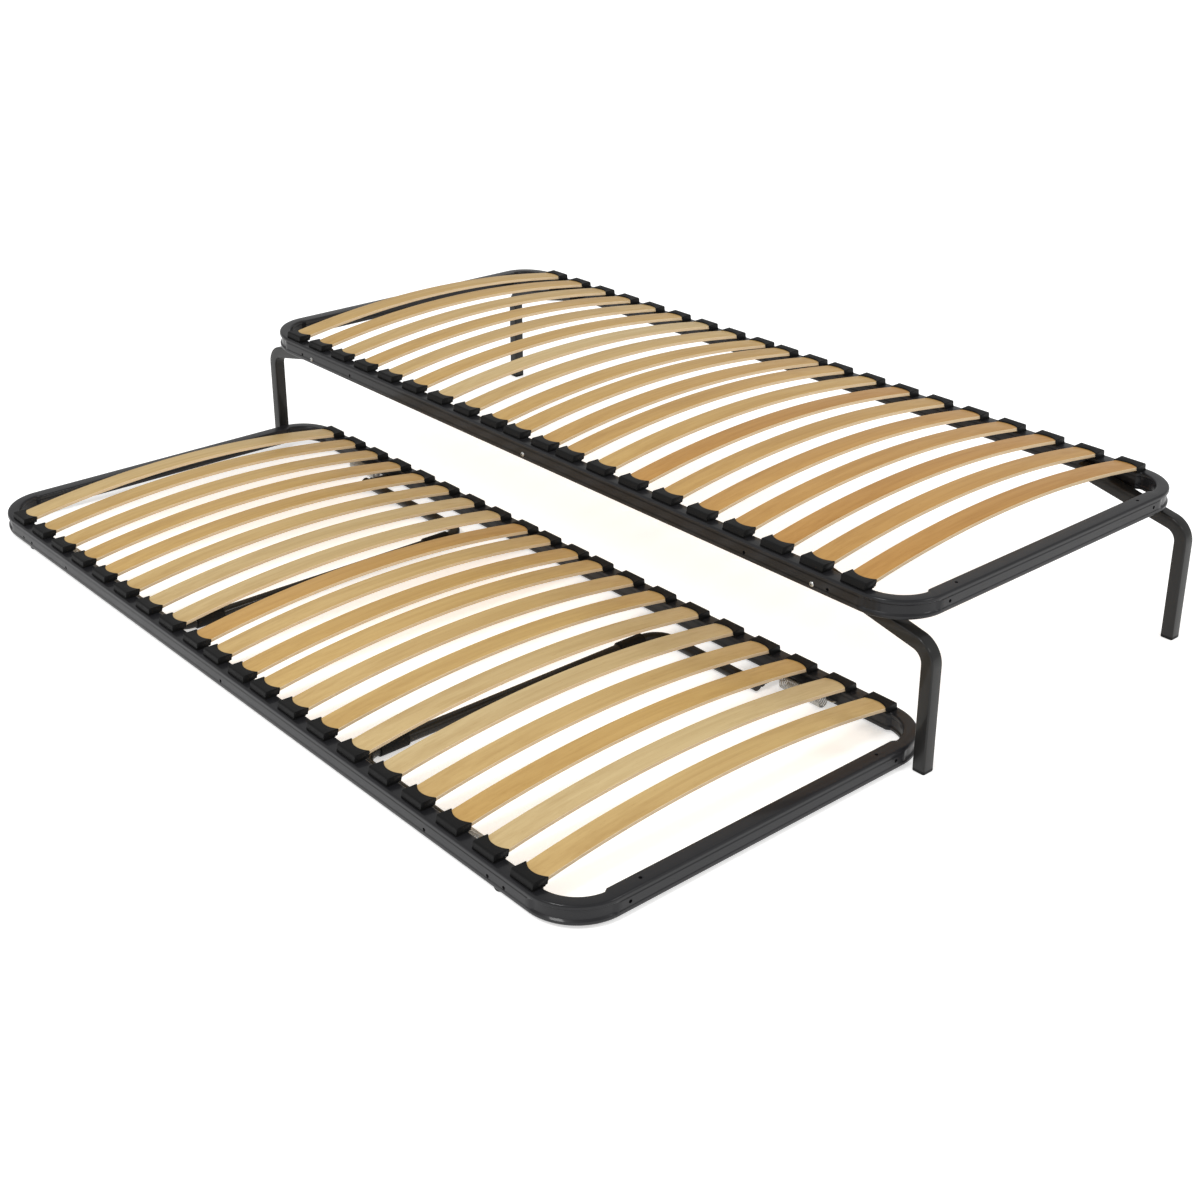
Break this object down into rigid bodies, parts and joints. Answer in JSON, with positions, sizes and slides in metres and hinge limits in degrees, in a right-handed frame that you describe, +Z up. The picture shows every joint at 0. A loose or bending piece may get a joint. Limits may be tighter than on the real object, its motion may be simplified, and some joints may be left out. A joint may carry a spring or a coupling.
{
  "type": "trundle bed",
  "caption": "Two slatted bed bases: one on bent legs, and one that slides out from under it on the floor and lifts on folding legs.",
  "frame": {"origin": "on the floor, at the middle of the footprint of both beds in the half-pulled-out rest pose", "axes": "+X along the beds, towards the shorter lifting leg; +Y from the lower bed towards the upper bed; +Z up"},
  "size_m": [1.979, 1.485, 0.3323],
  "materials": {
    "frame_paint": "satin black powder coat",
    "leg_paint": "satin black powder coat",
    "slat_wood": "clear-lacquered birch and beech plywood",
    "holder_plastic": "fine-grained black moulding",
    "glide_plastic": "plain black moulding",
    "spring_steel": "galvanised wire and zinc-plated fasteners"
  },
  "bodies": {
    "upper_bed": {"upper_frame": "frame_paint", "upper_slat_01": "slat_wood", "upper_slat_02": "slat_wood", "upper_slat_03": "slat_wood", "upper_slat_04": "slat_wood", "upper_slat_05": "slat_wood", "upper_slat_06": "slat_wood", "upper_slat_07": "slat_wood", "upper_slat_08": "slat_wood", "upper_slat_09": "slat_wood", "upper_slat_10": "slat_wood", "upper_slat_11": "slat_wood", "upper_slat_12": "slat_wood", "upper_slat_13": "slat_wood", "upper_slat_14": "slat_wood", "upper_slat_15": "slat_wood", "upper_slat_16": "slat_wood", "upper_slat_17": "slat_wood", "upper_slat_18": "slat_wood", "upper_slat_19": "slat_wood", "upper_slat_20": "slat_wood", "upper_holders_back": "holder_plastic", "upper_holders_front": "holder_plastic", "leg_front_left": "leg_paint", "leg_back_left": "leg_paint", "leg_front_right": "leg_paint", "leg_back_right": "leg_paint"},
    "trundle_glides": {"glide_front_left": "glide_plastic", "glide_back_left": "glide_plastic", "glide_front_right": "glide_plastic", "glide_back_right": "glide_plastic"},
    "lower_bed": {"lower_frame": "frame_paint", "lower_slat_01": "slat_wood", "lower_slat_02": "slat_wood", "lower_slat_03": "slat_wood", "lower_slat_04": "slat_wood", "lower_slat_05": "slat_wood", "lower_slat_06": "slat_wood", "lower_slat_07": "slat_wood", "lower_slat_08": "slat_wood", "lower_slat_09": "slat_wood", "lower_slat_10": "slat_wood", "lower_slat_11": "slat_wood", "lower_slat_12": "slat_wood", "lower_slat_13": "slat_wood", "lower_slat_14": "slat_wood", "lower_slat_15": "slat_wood", "lower_slat_16": "slat_wood", "lower_slat_17": "slat_wood", "lower_slat_18": "slat_wood", "lower_slat_19": "slat_wood", "lower_slat_20": "slat_wood", "lower_holders_back": "holder_plastic", "lower_holders_front": "holder_plastic", "spring_front_left": "spring_steel", "spring_back_left": "spring_steel", "spring_front_right": "spring_steel", "spring_back_right": "spring_steel"},
    "left_lift": {"lift_leg_left": "leg_paint"},
    "right_lift": {"lift_leg_right": "leg_paint"}
  },
  "joints": [
    {"name": "trundle_pull", "type": "slide", "parent": "upper_bed", "child": "trundle_glides", "axis": [0, -1, 0], "range_m": [-0.685, 0.13]},
    {"name": "trundle_raise", "type": "slide", "parent": "trundle_glides", "child": "lower_bed", "axis": [0, 0, 1], "range_m": [0, 0.165]},
    {"name": "left_lift_fold", "type": "hinge", "parent": "lower_bed", "child": "left_lift", "pos_m": [-0.5907, -0.3425, 0.0145], "axis": [0, 1, 0], "range_deg": [0, 28.2]},
    {"name": "right_lift_fold", "type": "hinge", "parent": "lower_bed", "child": "right_lift", "pos_m": [0.6187, -0.3425, 0.0145], "axis": [0, -1, 0], "range_deg": [0, 41.2]}
  ],
  "couplings": [
    {"joint": "left_lift_fold", "follows": "trundle_raise", "rad_per_m": 2.9419},
    {"joint": "right_lift_fold", "follows": "trundle_raise", "rad_per_m": 4.3073}
  ]
}
